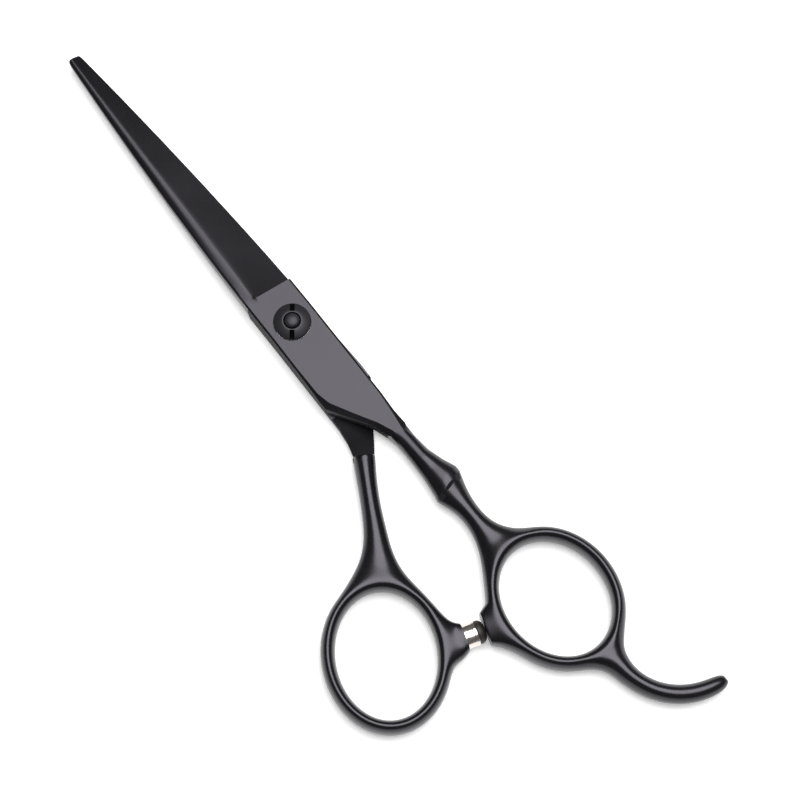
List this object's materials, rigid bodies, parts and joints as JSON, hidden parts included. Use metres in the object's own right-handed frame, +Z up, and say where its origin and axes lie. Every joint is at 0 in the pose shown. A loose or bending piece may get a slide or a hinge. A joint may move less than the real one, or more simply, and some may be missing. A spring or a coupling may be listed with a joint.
{
  "type": "hair cutting shears",
  "caption": "Black coated hairdressing shears with offset finger rings, a finger rest, an adjustable pivot screw and a rubber bumper; the thumb half swings about the pivot.",
  "frame": {"origin": "on the pivot axis, in the plane that the closed shears lie on, at the underside of the pivot bolt's head", "axes": "+X from the pivot to the tips of the closed blades, +Z up along the pivot axis from the bolt head to the tension nut, +Y towards the thumb ring"},
  "size_m": [0.1742, 0.0609, 0.0077],
  "materials": {
    "coated_steel": "black coating on ground and polished steel, satin on the flat pivot body, glossy on blades and handles",
    "screw_steel": "black coated turned steel, satin",
    "bush_bronze": "turned bearing bronze",
    "glide_plastic": "white PTFE sheet, smooth",
    "nylon": "natural nylon",
    "spring_steel": "pressed spring steel",
    "bright_chrome": "turned and chrome plated, mirror bright",
    "bumper_rubber": "moulded black rubber, semi-matt"
  },
  "bodies": {
    "finger_half": {"finger_blade": "coated_steel", "pivot_bush": "bush_bronze", "glide_washer": "glide_plastic", "nylon_washer": "nylon", "disc_spring": "spring_steel"},
    "thumb_half": {"thumb_blade": "coated_steel", "pivot_bolt": "screw_steel", "bumper_ferrule": "bright_chrome", "bumper_tip": "bumper_rubber"},
    "thrust": {"thrust_washer": "spring_steel"},
    "nut": {"tension_nut": "screw_steel", "nut_lock_ring": "nylon"}
  },
  "joints": [
    {"name": "cutting_pivot", "type": "hinge", "parent": "finger_half", "child": "thumb_half", "pos_m": [0, 0, 0.003], "axis": [0, 0, -1], "range_deg": [0, 90]},
    {"name": "nut_turn", "type": "hinge", "parent": "thrust", "child": "nut", "pos_m": [0, 0, 0.0065], "axis": [0, 0, 1], "range_deg": [-90, 90]},
    {"name": "washer_rise", "type": "slide", "parent": "thumb_half", "child": "thrust", "axis": [0, 0, 1], "range_m": [-0.000125, 0.000125], "deforming": ["disc_spring"]}
  ],
  "couplings": [
    {"joint": "nut_turn", "follows": "washer_rise", "rad_per_m": 12566}
  ]
}
